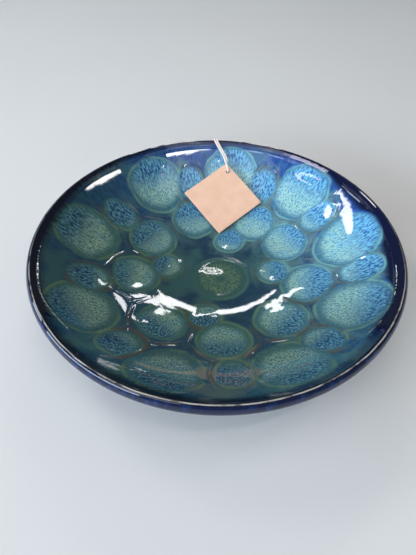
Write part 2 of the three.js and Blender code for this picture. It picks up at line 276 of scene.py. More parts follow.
# Lamps that the glaze mirrors: strips bent through stops of azimuth, elevation and width in degrees, as seen
# from a spot on the bowl, with edges ragged by a share of the width
WHITE = (1, 1, 1)
DUSK = (0.85, 0.82, 1)
SKY = (0.68, 0.84, 1)
Ribbon = namedtuple("Ribbon", "name away level colour ragged spot stops")
RIBBONS = (
    Ribbon(
        "back_window", away=3, level=20, colour=WHITE, ragged=0.4,
        spot=(0, -0.040, 0.016),
        stops=((-5, 43.8, 0.7), (0, 41.7, 1.8), (4, 41.6, 2.6)),
    ),
    Ribbon(
        "right_pane", away=3, level=18, colour=WHITE, ragged=0.8,
        spot=(-0.055, -0.030, 0.018),
        stops=((4, 41.2, 1.5), (8, 38.2, 2.0), (12.5, 36.2, 1.0)),
    ),
    Ribbon(
        "side_pane", away=3, level=14, colour=WHITE, ragged=0.4,
        spot=(-0.0735, -0.045, 0.027),
        stops=((18.4, 33.6, 1.2), (14.5, 30.8, 2.0), (9.5, 25.5, 0.6)),
    ),
    Ribbon(
        "left_pane", away=3, level=18, colour=WHITE, ragged=0.7,
        spot=(0.055, -0.026, 0.018),
        stops=((-4.5, 40.2, 1.2), (-8, 40.6, 2.2), (-13.5, 39.5, 0.8)),
    ),
    Ribbon(
        "left_window", away=1.5, level=20, colour=WHITE, ragged=0.3,
        spot=(0.1175, 0.058, 0.055),
        stops=((-77, 46.3, 2), (-66, 44, 4.5), (-55, 41.4, 3)),
    ),
    Ribbon(
        "right_strip", away=1.5, level=30, colour=WHITE, ragged=0.2,
        spot=(-0.111, 0.0825, 0.060),
        stops=((71.5, 41.9, 0.6), (82, 46.7, 1), (92.4, 50.7, 0.6)),
    ),
    Ribbon(
        "front_strip", away=1.5, level=30, colour=WHITE, ragged=0,
        spot=(-0.031, 0.136, 0.062),
        stops=((131.5, 60.3, 1.2), (151, 62.3, 1.8), (169.5, 63.1, 1)),
    ),
    Ribbon(
        "dusk_strip", away=1.5, level=12, colour=DUSK, ragged=0.6,
        spot=(0.085, 0.112, 0.060),
        stops=((-94, 49, 1.5), (-110, 53, 3), (-126, 56, 1.5)),
    ),
    Ribbon(
        "sky_strip", away=4.0, level=11, colour=SKY, ragged=0,
        spot=(-0.08, -0.11, 0.06),
        stops=((-75, 14, 14), (-120, 17, 17), (-164, 19, 14)),
    ),
)
RIBBON_STEPS = 10
ROUND_LAMP_RINGS = ((0.82, 1), (0.22, 0.42))
ROUND_LAMP_SIDES = 48
ROUND_LAMP_SPOT = DISH_MIDDLE + Vector((0, 0, 0.016))
LAMP_AIM = Vector((0, 0, 0.03))
ROOM_COLOUR = (0.93, 0.97, 1, 1)
ROOM_LEVEL = 0.12
FLOOR_RADIUS = 6

# Camera, as the photograph was taken
CAMERA_PLACE = Vector((0, -0.2532, 0.2936))
CAMERA_DOWN = math.radians(47.90)
CAMERA_RIGHT = math.radians(-1.53)
CAMERA_ROLL = math.radians(0.87)
CAMERA_LENS = 27.05


def lerp(start, end, share):
    return start + (end - start) * share


def eased(value, low, high):
    """0 at low and 1 at high, with soft ends."""
    share = min(max((value - low) / (high - low), 0), 1)
    return share * share * (3 - 2 * share)


def spread(start, end, count):
    return [lerp(start, end, i / count) for i in range(count + 1)]


def link(thing):
    bpy.context.scene.collection.objects.link(thing)
    return thing


class Tree:
    """Adds nodes to a node tree. An input takes a plain value, or the socket that feeds it."""

    def __init__(self, tree):
        self.tree = tree

    def feed(self, value, socket):
        if isinstance(value, bpy.types.NodeSocket):
            self.tree.links.new(value, socket)
        elif socket.type == "RGBA":
            socket.default_value = (*value, 1)
        else:
            socket.default_value = value

    def node(self, kind, inputs=None, **settings):
        made = self.tree.nodes.new(kind)
        for name, value in settings.items():
            setattr(made, name, value)
        for key, value in (inputs or {}).items():
            self.feed(value, made.inputs[key])
        return made

    def math(self, operation, *values):
        made = self.node("ShaderNodeMath", operation=operation)
        for value, socket in zip(values, made.inputs):
            self.feed(value, socket)
        return made.outputs[0]

    def times(self, first, *others):
        for other in others:
            first = self.math("MULTIPLY", first, other)
        return first

    def plus(self, first, second):
        return self.math("ADD", first, second)

    def less(self, first, second):
        return self.math("SUBTRACT", first, second)

    def vector(self, operation, *values):
        made = self.node("ShaderNodeVectorMath", operation=operation)
        sockets = [s for s in made.inputs if s.enabled]
        for value, socket in zip(values, sockets):
            self.feed(value, socket)
        return next(s for s in made.outputs if s.enabled)

    def combine(self, x, y, z):
        return self.node("ShaderNodeCombineXYZ", {"X": x, "Y": y, "Z": z}).outputs[0]

    def separate(self, vector):
        return self.node("ShaderNodeSeparateXYZ", {"Vector": vector}).outputs

    def ease(self, value, low, high, start=0.0, end=1.0):
        """start at low and end at high, with soft ends; low may be the larger."""
        given = {"Value": value, "From Min": low, "From Max": high, "To Min": start, "To Max": end}
        return self.node("ShaderNodeMapRange", given, interpolation_type="SMOOTHSTEP").outputs[0]

    def choose(self, share, first, second):
        """A number between two, by its share of the second."""
        return self.node("ShaderNodeMix", {0: share, 2: first, 3: second}, data_type="FLOAT").outputs[0]

    def mix(self, share, first, second):
        """A colour between two, by its share of the second."""
        return self.node("ShaderNodeMix", {0: share, 6: first, 7: second}, data_type="RGBA").outputs[2]

    def lay(self, under, over, pattern, low, high, share=1.0):
        """A colour laid over another where a pattern eases from low to high, up to a share."""
        return self.mix(self.ease(pattern, low, high, 0.0, share), under, over)

    def noise(self, vector, scale, detail=2.0, roughness=0.5, distortion=0.0):
        given = {"Vector": vector, "Scale": scale, "Detail": detail}
        given |= {"Roughness": roughness, "Distortion": distortion}
        return self.node("ShaderNodeTexNoise", given).outputs["Fac"]

    def from_axis(self, place):
        return self.vector("LENGTH", self.vector("MULTIPLY", place, (1, 1, 0)))

    def around(self, value, width):
        """A noise value of 0 to 1 as a number from -width / 2 to width / 2."""
        return self.times(self.less(value, 0.5), width)


# Geometry Nodes


def geometry_tree(name, inputs):
    tree = bpy.data.node_groups.new(name, "GeometryNodeTree")
    for label, kind in inputs.items():
        tree.interface.new_socket(label, in_out="INPUT", socket_type="NodeSocket" + kind)
    tree.interface.new_socket("Geometry", in_out="OUTPUT", socket_type="NodeSocketGeometry")
    t = Tree(tree)
    return t, t.node("NodeGroupInput").outputs


def close_tree(t, geometry, material):
    """Ends a tree in real geometry with its material."""
    real = t.node("GeometryNodeRealizeInstances", {"Geometry": geometry}).outputs[0]
    dressed = t.node("GeometryNodeSetMaterial", {"Geometry": real, "Material": material}).outputs[0]
    t.node("NodeGroupOutput", {"Geometry": dressed})
    return t.tree


def store(t, geometry, name, value, data_type="FLOAT"):
    given = {"Geometry": geometry, "Name": name, "Value": value}
    return t.node("GeometryNodeStoreNamedAttribute", given, data_type=data_type, domain="POINT").outputs[0]


def stored(t, name, data_type="FLOAT"):
    return t.node("GeometryNodeInputNamedAttribute", {"Name": name}, data_type=data_type).outputs[0]


def sample(t, geometry, value, index, data_type="FLOAT"):
    given = {"Geometry": geometry, "Value": value, "Index": index}
    return t.node("GeometryNodeSampleIndex", given, data_type=data_type, clamp=True).outputs[0]


def point_count(t, geometry):
    sizes = t.node("GeometryNodeAttributeDomainSize", {"Geometry": geometry}, component="MESH")
    return sizes.outputs["Point Count"]


def calmed(t, ripple, radius):
    """A ripple that lies still in the bowl's middle."""
    return t.times(ripple, t.ease(radius, *CALM_RADII, 1.0, CALM_SHARE))


def grown(name, tree, **values):
    """The plain mesh that a tree makes with these inputs, named with _ for a space."""
    made = link(bpy.data.objects.new(name, bpy.data.meshes.new(name)))
    modifier = made.modifiers.new(tree.name, "NODES")
    modifier.node_group = tree
    for item in tree.interface.items_tree:
        key = item.name.replace(" ", "_")
        if item.in_out == "INPUT" and key in values:
            modifier[item.identifier] = values[key]
    seen = made.evaluated_get(bpy.context.evaluated_depsgraph_get())
    mesh = bpy.data.meshes.new_from_object(seen)
    made.modifiers.remove(modifier)
    made.data = mesh
    mesh.name = name
    return made


def guide(name, points, edges=(), **attributes):
    """A mesh of points, with attributes, that a tree reads."""
    mesh = bpy.data.meshes.new(name)
    mesh.from_pydata(points, edges, [])
    for label, values in attributes.items():
        as_vector = hasattr(values[0], "__len__")
        data = mesh.attributes.new(label, "FLOAT_VECTOR" if as_vector else "FLOAT", "POINT").data
        flat = [x for value in values for x in value] if as_vector else values
        data.foreach_set("vector" if as_vector else "value", flat)
    return link(bpy.data.objects.new(name, mesh))


def drop(*guides):
    for thing in guides:
        bpy.data.objects.remove(thing)


# Camera


def camera():
    data = bpy.data.cameras.new("camera")
    data.lens = CAMERA_LENS
    data.clip_start = 0.01
    made = link(bpy.data.objects.new("camera", data))
    turn = Matrix.Rotation(-CAMERA_RIGHT, 4, "Z") @ Matrix.Rotation(math.pi / 2 - CAMERA_DOWN, 4, "X")
    made.matrix_world = Matrix.Translation(CAMERA_PLACE) @ turn @ Matrix.Rotation(CAMERA_ROLL, 4, "Z")
    bpy.context.scene.camera = made


# Shape of the bowl


def well_height(radius):
    return WELL_FLOOR + WELL_DEPTH * (radius / CREST_RADIUS) ** WELL_POWER


def well_into(radius):
    """Square to the well, into the clay, as (radius, height)."""
    slope = WELL_DEPTH * WELL_POWER / CREST_RADIUS * (radius / CREST_RADIUS) ** (WELL_POWER - 1)
    return Vector((slope, -1)).normalized()


def well_point(radius, depth):
    return Vector((radius, well_height(radius))) + well_into(radius) * depth


def fullness(radius):
    """Below the dark band the well's glaze thins from its full coat, 1, to the rim's, 0."""
    return 1 - eased(radius, BAND_RADIUS - COAT_TAPER, BAND_RADIUS)


def well_coat(radius):
    return lerp(RIM_COAT, WELL_COAT, fullness(radius))


def evenly(points, step):
    """An outline with its points about a step apart."""
    lengths = [0]
    for before, after in zip(points, points[1:]):
        lengths.append(lengths[-1] + (after - before).length)
    count = round(lengths[-1] / step)
    made = []
    at = 0
    for want in spread(0, lengths[-1], count):
        while at < len(points) - 2 and lengths[at + 1] < want:
            at += 1
        share = (want - lengths[at]) / (lengths[at + 1] - lengths[at])
        made.append(points[at].lerp(points[at + 1], share))
    return made


def rounded(points, passes):
    """An outline with its corners worn down, its ends kept."""
    for _ in range(passes):
        middle = [(a + 2 * b + c) / 4 for a, b, c in zip(points, points[1:], points[2:])]
        points = [points[0], *middle, points[-1]]
    return points


def into_of(points):
    """Square to an outline, to its left as it runs up the outside: into the clay."""
    made = []
    for i in range(len(points)):
        ahead = points[min(i + 1, len(points) - 1)] - points[max(i - 1, 0)]
        made.append(Vector((-ahead.y, ahead.x)).normalized())
    return made


def glazed_outline():
    """From the bare foot up the outside, over the lip and crest, and down to the band's lower edge."""
    wall = [well_point(r, OUTSIDE) for r in spread(FOOT_RADIUS + BARE_FOOT, LIP_END, WALL_POINTS)]
    end = wall[-1]
    ahead = end - well_point(LIP_END - LIP_BLEND, OUTSIDE)
    corner = end + ahead * ((RIM_RADIUS - end.x) / ahead.x)
    widest = Vector((RIM_RADIUS, HEIGHT - LIP_DROP))
    under = [end.lerp(corner, s).lerp(corner.lerp(widest, s), s) for s in spread(0, 1, UNDER_POINTS)]
    lip = []
    for turn in spread(0, math.pi / 2, LIP_POINTS):
        out = CREST_INSET * math.cos(turn)
        up = LIP_DROP * math.sin(turn)
        lip.append(Vector((CREST_RADIUS + out, widest.y + up)))
    band = [well_point(r, 0) for r in spread(CREST_RADIUS, BAND_RADIUS, BAND_POINTS)]
    outline = [*wall, *under[1:], *lip[1:], *band[1:]]
    return rounded(evenly(outline, OUTLINE_STEP), RIM_ROUNDING)


Station = namedtuple("Station", "place into share from_crest")


def profile_guide(name, stations):
    """A profile to turn: each point, the way into the clay there, how far presses reach it, and its
    distance from the crest, positive inside."""
    return guide(
        name,
        [(s.place.x, 0, s.place.y) for s in stations],
        into=[(s.into.x, 0, s.into.y) for s in stations],
        share=[s.share for s in stations],
        from_crest=[s.from_crest for s in stations],
    )


def rim_stations():
    outline = glazed_outline()
    intos = into_of(outline)
    crest = max(range(len(outline)), key=lambda i: outline[i].y)
    along = [0]
    for before, after in zip(outline, outline[1:]):
        along.append(along[-1] + (after - before).length)
    face = [Station(p, into, 0, a - along[crest]) for p, into, a in zip(outline, intos, along)]
    hidden = [face[0], *face[HIDDEN_SKIP:-HIDDEN_SKIP:HIDDEN_SKIP], face[-1]]
    back = [Station(s.place + s.into * RIM_COAT, s.into, 0, s.from_crest) for s in reversed(hidden)]
    return [*face, *back, face[0]]


def well_stations():
    top = []
    from_crest = (well_point(BAND_RADIUS, 0) - well_point(CREST_RADIUS, 0)).length
    for r in spread(BAND_RADIUS, 0, WELL_ROWS):
        place = well_point(r, 0)
        if top:
            from_crest += (place - top[-1].place).length
        top.append(Station(place, well_into(r), fullness(r), from_crest))
    under = []
    for r in spread(0, BAND_RADIUS, HIDDEN_ROWS):
        under.append(Station(well_point(r, well_coat(r)), well_into(r), 0, 0))
    return [*under, *top]


def body_stations():
    outline = glazed_outline()
    wall = [p + into * RIM_COAT for p, into in zip(outline, into_of(outline))]
    foot = [
        Vector((0, FOOT_RECESS)),
        Vector((FOOT_INSIDE - FOOT_EDGE, FOOT_RECESS)),
        Vector((FOOT_INSIDE, FOOT_EDGE)),
        Vector((FOOT_INSIDE + FOOT_EDGE, 0)),
        Vector((FOOT_RADIUS - FOOT_EDGE, 0)),
        Vector((FOOT_RADIUS, FOOT_EDGE)),
        Vector((FOOT_RADIUS + FOOT_FLARE, wall[0].y - FOOT_FLARE)),
        wall[0],
    ]
    foot = rounded(evenly(foot, FOOT_STEP), FOOT_ROUNDING)
    inside = [well_point(r, well_coat(r)) for r in spread(BAND_RADIUS, 0, CLAY_ROWS)]
    outline = [*foot, *wall[1::2], *inside]
    return [Station(p, Vector((0, 1)), 0, 0) for p in outline]


def base_stations():
    edge = FOOT_INSIDE - FOOT_EDGE - FIT_GAP
    top = FOOT_RECESS
    bottom = top - BASE_COAT - FIT_GAP
    outline = [Vector((0, bottom)), Vector((edge, bottom)), Vector((edge, top)), Vector((0, top))]
    outline = rounded(evenly(outline, BASE_STEP), FOOT_ROUNDING)
    return [Station(p, Vector((0, 1)), 0, 0) for p in outline]


def hollows_guide():
    draw = random.Random(TONE_SEED)
    rows = []
    for ring in HOLLOW_RINGS:
        for k, (off, slid) in enumerate(zip(ring.nudge, ring.slide)):
            even = math.radians(ring.turn) + math.tau * k / len(ring.nudge)
            angle = even - RING_DRIFT * math.sin(even) + math.radians(off)
            outwards = Vector((math.cos(angle), math.sin(angle), 0))
            middle = outwards * (ring.radius + slid)
            milk = ring.milk + draw.uniform(-MILK_SPREAD, MILK_SPREAD)
            rows.append((middle, outwards, ring.across, ring.along, ring.reach, ring.depth, milk, 0))
    rows.append((DISH_MIDDLE, Vector((1, 0, 0)), DISH_RADIUS, DISH_RADIUS, 1, DISH_DEPTH, 0, 1))
    middles, outwards, across, along, reach, depth, milk, dish = zip(*rows)
    return guide(
        "hollows",
        middles,
        outwards=outwards,
        across=across,
        along=along,
        reach=reach,
        depth=depth,
        milk=milk,
        dish=dish,
    )


def nearest_hollow(t, hollows, softness, wobble):
    """For each point of the plan: the press depth, and where the point lies by its nearest hollow. The plan
    wobbles, so that no two outlines are alike."""
    place = t.node("GeometryNodeInputPosition").outputs[0]
    state = {
        "edge": FAR_OFF,
        "rival": FAR_OFF,
        "out": 0.0,
        "milk": 0.0,
        "dish": 0.0,
        "size": 1.0,
        "press": 0.0,
    }
    enter = t.node("GeometryNodeRepeatInput")
    leave = t.node("GeometryNodeRepeatOutput")
    enter.pair_with_output(leave)
    leave.repeat_items.clear()
    for name in state:
        leave.repeat_items.new("FLOAT", name)
    t.feed(point_count(t, hollows), enter.inputs["Iterations"])
    for name, start in state.items():
        t.feed(start, enter.inputs[name])
    index = enter.outputs["Iteration"]
    waves = {"Vector": place, "Scale": WOBBLE_PATCHES, "Detail": 1.0}
    wander = t.node("ShaderNodeTexNoise", waves).outputs["Color"]
    wander = t.vector("SUBTRACT", wander, (0.5, 0.5, 0.5))
    middle = sample(t, hollows, place, index, "FLOAT_VECTOR")
    outwards = sample(t, hollows, stored(t, "outwards", "FLOAT_VECTOR"), index, "FLOAT_VECTOR")
    across, along, reach, depth, milk, dish = (
        sample(t, hollows, stored(t, name), index)
        for name in ("across", "along", "reach", "depth", "milk", "dish")
    )
    wander = t.vector("SCALE", wander, t.times(wobble, t.choose(dish, 1.0, DISH_WOBBLE)))
    flat = t.vector("SUBTRACT", t.vector("ADD", place, wander), middle)
    flat = t.vector("MULTIPLY", flat, (1, 1, 0))
    rimwards = t.math("DIVIDE", t.vector("DOT_PRODUCT", flat, outwards), across)
    out = t.math("MAXIMUM", rimwards, t.math("DIVIDE", rimwards, reach))
    beside = t.math("DIVIDE", t.separate(t.vector("CROSS_PRODUCT", flat, outwards))[2], along)
    square = t.plus(t.times(out, out), t.times(beside, beside))
    edge = t.math("SQRT", square)
    closer = t.math("LESS_THAN", edge, enter.outputs["edge"])
    inside = t.math("MAXIMUM", t.less(1, square), 0.0)
    pressed = t.times(depth, t.math("POWER", inside, t.choose(dish, HOLLOW_SOFTNESS, DISH_SOFTNESS)))
    results = {
        "edge": t.math("MINIMUM", edge, enter.outputs["edge"]),
        "rival": t.choose(closer, t.math("MINIMUM", edge, enter.outputs["rival"]), enter.outputs["edge"]),
        "press": t.math("SMOOTH_MAX", enter.outputs["press"], pressed, softness),
        "size": t.choose(closer, enter.outputs["size"], t.times(t.plus(across, along), 0.5)),
    }
    for name, value in (("out", out), ("milk", milk), ("dish", dish)):
        results[name] = t.choose(closer, enter.outputs[name], value)
    for name, value in results.items():
        t.feed(value, leave.inputs[name])
    return {name: leave.outputs[name] for name in state}


def turned_tree():
    """Turns a profile about the axis, presses the hollows into it, and notes on each point where it lies
    by its nearest hollow, for the glaze."""
    t, given = geometry_tree(
        "turned_and_pressed",
        {
            "Profile": "Object",
            "Hollows": "Object",
            "Columns": "Int",
            "Ridge softness": "Float",
            "Wobble": "Float",
            "Unevenness": "Float",
            "Material": "Material",
        },
    )
    profile, hollows = (
        t.node("GeometryNodeObjectInfo", {"Object": given[name]}).outputs["Geometry"]
        for name in ("Profile", "Hollows")
    )
    rows = point_count(t, profile)
    sizes = {"Size X": 1.0, "Size Y": 1.0, "Vertices X": t.plus(given["Columns"], 1), "Vertices Y": rows}
    sheet = t.node("GeometryNodeMeshGrid", sizes).outputs["Mesh"]
    place = t.node("GeometryNodeInputPosition").outputs[0]
    across, up, _ = t.separate(place)
    row = t.math("ROUND", t.times(t.plus(up, 0.5), t.less(rows, 1)))
    turn = t.times(across, math.tau)
    cosine, sine = t.math("COSINE", turn), t.math("SINE", turn)

    def turned(vector):
        radius, _, height = t.separate(vector)
        return t.combine(t.times(radius, cosine), t.times(radius, sine), height)

    for name in ("share", "from_crest"):
        sheet = store(t, sheet, name, sample(t, profile, stored(t, name), row))
    into = sample(t, profile, stored(t, "into", "FLOAT_VECTOR"), row, "FLOAT_VECTOR")
    sheet = store(t, sheet, "into", turned(into), "FLOAT_VECTOR")
    outline = turned(sample(t, profile, place, row, "FLOAT_VECTOR"))
    body = t.node("GeometryNodeSetPosition", {"Geometry": sheet, "Position": outline}).outputs[0]
    body = t.node("GeometryNodeMergeByDistance", {"Geometry": body, "Distance": MERGE}).outputs[0]

    near = nearest_hollow(t, hollows, given["Ridge softness"], given["Wobble"])
    size = near["size"]
    notes = {
        "edge": near["edge"],
        "out": near["out"],
        "milk": near["milk"],
        "dish": near["dish"],
        "from_ring": t.times(t.less(near["edge"], 1), size),
        "from_ridge": t.times(t.less(near["rival"], near["edge"]), size, 0.5),
        "press": near["press"],
    }
    for name, value in notes.items():
        body = store(t, body, name, value)
    ripple = t.around(t.noise(place, UNEVEN_PATCHES, 2.0), given["Unevenness"])
    ripple = calmed(t, ripple, t.from_axis(place))
    depth = t.times(t.plus(stored(t, "press"), ripple), stored(t, "share"))
    moved = t.vector("SCALE", stored(t, "into", "FLOAT_VECTOR"), depth)
    body = t.node("GeometryNodeSetPosition", {"Geometry": body, "Offset": moved}).outputs[0]
    fold = t.node("GeometryNodeInputMeshEdgeAngle").outputs[0]
    sharp = {"Geometry": body, "Selection": t.math("GREATER_THAN", fold, SHARP_FOLD), "Shade Smooth": False}
    body = t.node("GeometryNodeSetShadeSmooth", sharp, domain="EDGE").outputs[0]
    return close_tree(t, body, given["Material"])


def bowl_pieces(glaze, dark_glaze, stoneware):
    tree = turned_tree()
    hollows = hollows_guide()
    plain = guide("no_hollows", [])
    pieces = (
        ("pressed_well", well_stations(), hollows, GLAZE_COLUMNS, glaze, "well_glaze", "well_glaze"),
        ("dipped_rim", rim_stations(), hollows, GLAZE_COLUMNS, glaze, "rim_glaze", "rim_glaze"),
        ("thrown_body", body_stations(), plain, CLAY_COLUMNS, stoneware, "clay_body", "stoneware"),
        ("brushed_base", base_stations(), plain, BASE_COLUMNS, dark_glaze, "base_glaze", "rim_glaze"),
    )
    for name, stations, presses, columns, material, node, slot in pieces:
        profile = profile_guide(name + "_profile", stations)
        piece = grown(
            name,
            tree,
            Profile=profile,
            Hollows=presses,
            Columns=columns,
            Ridge_softness=RIDGE_SOFTNESS,
            Wobble=WOBBLE,
            Unevenness=UNEVENNESS,
            Material=material,
        )
        drop(profile)
        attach(piece, "bowl")
        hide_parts(node)
    drop(hollows, plain)


# Tag and string

HOLE = Vector((HOLE_FROM_LEFT - HOLE_FROM_RIGHT, -HOLE_FROM_LEFT - HOLE_FROM_RIGHT)) / math.sqrt(2)
TO_HOLE = HOLE.normalized()
TIP_AWAY = math.sqrt(TIP_RADIUS ** 2 - TIP_SIDE ** 2)
TAG = (
    Matrix.Translation((TIP_SIDE, TIP_AWAY, well_height(TIP_RADIUS) + TIP_LIFT))
    @ Matrix.Rotation(CARD_SLOPE, 4, "X")
    @ Matrix.Rotation(CARD_LEAN, 4, "Y")
    @ Matrix.Rotation(CARD_TURN, 4, "Z")
)
OUTWARDS = Vector((CROSSING_SIDE, math.sqrt(CREST_RADIUS ** 2 - CROSSING_SIDE ** 2), 0)) / CREST_RADIUS
ALONG_RIM = Vector((OUTWARDS.y, -OUTWARDS.x, 0))
FALL_OUT = CREST_INSET + FALL_STANDOFF


def tip_point(down, side, proud):
    """By the card's tip: down towards the hole, sideways in the card's plane, and proud of it."""
    down_card = Vector((TO_HOLE.x, TO_HOLE.y, 0)) * down
    beside = Vector((-TO_HOLE.y, TO_HOLE.x, 0)) * side
    return TAG @ (down_card + beside + Vector((0, 0, proud)))


def rim_point(out, up, along):
    """By the rim where the string crosses it: outwards from the crest, above it, and along it."""
    flat = OUTWARDS * (CREST_RADIUS + out) + ALONG_RIM * along
    return Vector((flat.x, flat.y, HEIGHT + up))


def smooth_path(points):
    """A path through points, smooth at each."""
    made = [points[0]]
    for i in range(len(points) - 1):
        start, end = points[i], points[i + 1]
        lead = (end - points[max(i - 1, 0)]) / 6
        trail = (points[min(i + 2, len(points) - 1)] - start) / 6
        made += interpolate_bezier(start, start + lead, end - trail, end, PATH_STEPS + 1)[1:]
    return made


def leg_path(side):
    """One strand, from the bend by the tip up to the crest."""
    along = side * STRAND_PITCH / 2
    start = tip_point(-BEND_RISE, along, 0)
    lead = tip_point(-BEND_RISE - LEG_LEAD, along, 0)
    bend = rim_point(-LEG_BEND, HUMP, along)
    return interpolate_bezier(start, lead, bend, rim_point(0, HUMP, along), LEG_POINTS)


def eye_path():
    """From the left strand's bend down the card's face, through the hole and back up behind the card."""
    middle = HOLE.length - EYE_RADIUS
    points = [tip_point(-BEND_RISE, -STRAND_PITCH / 2, 0), tip_point(0, -STRAND_PITCH / 4, EYE_GAPE)]
    for turn in spread(0, math.pi, 4):
        points.append(tip_point(middle + EYE_RADIUS * math.sin(turn), 0, EYE_RADIUS * math.cos(turn)))
    points += [tip_point(0, STRAND_PITCH / 4, -EYE_GAPE), tip_point(-BEND_RISE, STRAND_PITCH / 2, 0)]
    return smooth_path(points)


def fall_path(side):
    """One strand, from the crest over the lip and down outside to the knot."""
    points = []
    for turn in spread(math.pi / 2, 0, 4):
        out = lerp(0, FALL_OUT, math.cos(turn))
        up = lerp(-LIP_DROP, HUMP, math.sin(turn))
        points.append(rim_point(out, up, side * STRAND_PITCH / 2))
    drops = 5
    for i in range(1, drops + 1):
        up = lerp(-LIP_DROP, KNOT_HEIGHT - HEIGHT, i / drops)
        pitch = lerp(STRAND_PITCH, KNOT_PITCH, i / drops)
        points.append(rim_point(FALL_OUT, up, side * pitch / 2))
    return smooth_path(points)


def knot_paths():
    """The wraps round the two strands, and the strands through them with their cut ends below."""
    low = KNOT_HEIGHT - KNOT_LENGTH - HEIGHT
    wrap = KNOT_RADIUS - STRING / 2
    wraps = []
    for share in spread(0, 1, WRAP_POINTS):
        turn = math.tau * KNOT_TURNS * share
        up = lerp(low + STRING / 2, low + KNOT_LENGTH - STRING / 2, share)
        wraps.append(rim_point(FALL_OUT + wrap * math.sin(turn), up, wrap * math.cos(turn)))
    paths = [wraps]
    for side in (-1, 1):
        top = rim_point(FALL_OUT, low + KNOT_LENGTH + STRING / 2, side * KNOT_PITCH / 2)
        inside = rim_point(FALL_OUT, low + KNOT_LENGTH / 2, side * KNOT_PITCH / 2)
        below = rim_point(FALL_OUT + side * STRING / 4, low - TAIL / 2, side * KNOT_PITCH * TAIL_SPLAY)
        end = rim_point(FALL_OUT + side * STRING / 2, low - TAIL, side * KNOT_PITCH)
        paths.append(smooth_path([top, inside, below, end]))
    return paths


def plied_cord_tree():
    """Lays plies round each other along a path."""
    t, given = geometry_tree(
        "plied_cord",
        {
            "Path": "Object",
            "Plies": "Int",
            "Diameter": "Float",
            "Lay length": "Float",
            "Step": "Float",
            "Material": "Material",
        },
    )
    path = t.node("GeometryNodeObjectInfo", {"Object": given["Path"]}).outputs["Geometry"]
    line = t.node("GeometryNodeMeshToCurve", {"Mesh": path}).outputs[0]
    steps = {"Curve": line, "Length": given["Step"]}
    line = t.node("GeometryNodeResampleCurve", steps, mode="LENGTH").outputs[0]
    length = t.node("GeometryNodeSplineParameter").outputs["Length"]
    line = store(t, line, "along", length)
    twins = {"Geometry": line, "Amount": given["Plies"]}
    copies = t.node("GeometryNodeDuplicateElements", twins, domain="SPLINE")
    number = copies.outputs["Duplicate Index"]
    line = store(t, copies.outputs["Geometry"], "ply", number)
    share = t.plus(t.math("DIVIDE", number, given["Plies"]), t.math("DIVIDE", length, given["Lay length"]))
    turn = t.times(share, math.tau)
    # Three plies that touch each other fill a circle 1 + 2 / sqrt(3) times as wide as a ply
    wide = 1 + 2 / math.sqrt(3)
    ply = t.math("DIVIDE", t.times(given["Diameter"], 0.5), wide)
    offset = t.less(t.times(given["Diameter"], 0.5), ply)
    normal = t.node("GeometryNodeInputNormal").outputs["Normal"]
    tangent = t.node("GeometryNodeInputTangent").outputs["Tangent"]
    beside = t.vector("CROSS_PRODUCT", tangent, normal)
    first = t.vector("SCALE", normal, t.times(offset, t.math("COSINE", turn)))
    second = t.vector("SCALE", beside, t.times(offset, t.math("SINE", turn)))
    laid = {"Geometry": line, "Offset": t.vector("ADD", first, second)}
    line = t.node("GeometryNodeSetPosition", laid).outputs[0]
    circle = {"Resolution": PLY_SIDES, "Radius": t.times(ply, PLY_FULL)}
    section = t.node("GeometryNodeCurvePrimitiveCircle", circle).outputs[0]
    section = store(t, section, "around", t.node("GeometryNodeSplineParameter").outputs["Factor"])
    given_tube = {"Curve": line, "Profile Curve": section, "Fill Caps": True}
    tube = t.node("GeometryNodeCurveToMesh", given_tube).outputs[0]
    return close_tree(t, tube, given["Material"])


def laid_cord(name, tree, paths, cotton):
    """A plied cord along one path or several."""
    points = []
    edges = []
    for path in paths:
        edges += [(len(points) + i, len(points) + i + 1) for i in range(len(path) - 1)]
        points += path
    line = guide(name + "_path", points, edges)
    made = grown(
        name,
        tree,
        Path=line,
        Plies=PLIES,
        Diameter=STRING * LAID_FULL,
        Lay_length=LAY_LENGTH,
        Step=CORD_STEP,
        Material=cotton,
    )
    drop(line)
    return made


def string_pieces(cotton):
    tree = plied_cord_tree()

    knot = laid_cord("wrapped_knot", tree, knot_paths(), cotton)
    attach(knot, "bowl")
    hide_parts("string_knot")

    for name, side in (("left", -1), ("right", 1)):
        path = fall_path(side)
        fall = laid_cord("hanging_strand_" + name, tree, [path], cotton)
        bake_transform(fall)
        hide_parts("string_fall_" + name)

    path = [*reversed(leg_path(-1)), *eye_path()[1:], *leg_path(1)[1:]]
    loop = laid_cord("tag_loop", tree, [path], cotton)
    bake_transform(loop)
    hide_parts("string_leg_left", "string_leg_right", "string_eye")


def card_outline(angle):
    """The card's edge seen from its hole at an angle, in the card's plane."""
    half = CARD_SIDE / 2
    middle = Vector((0, -CARD_SIDE / math.sqrt(2)))
    way = Vector((math.cos(angle), math.sin(angle)))
    sides = [Vector((math.cos(a), math.sin(a))) for a in (math.pi / 4 + k * math.pi / 2 for k in range(4))]
    reach = min((half - (HOLE - middle).dot(s)) / way.dot(s) for s in sides if way.dot(s) > 0)
    return HOLE + way * reach


def card_curl(x, y):
    """How far the card stands proud of its plane: its lower corner lifts a little."""
    down = -y / (CARD_SIDE * math.sqrt(2))
    return CARD_CURL * (down ** 3 + CARD_WAVE * math.sin(3 * math.pi * down) * x / CARD_SIDE)


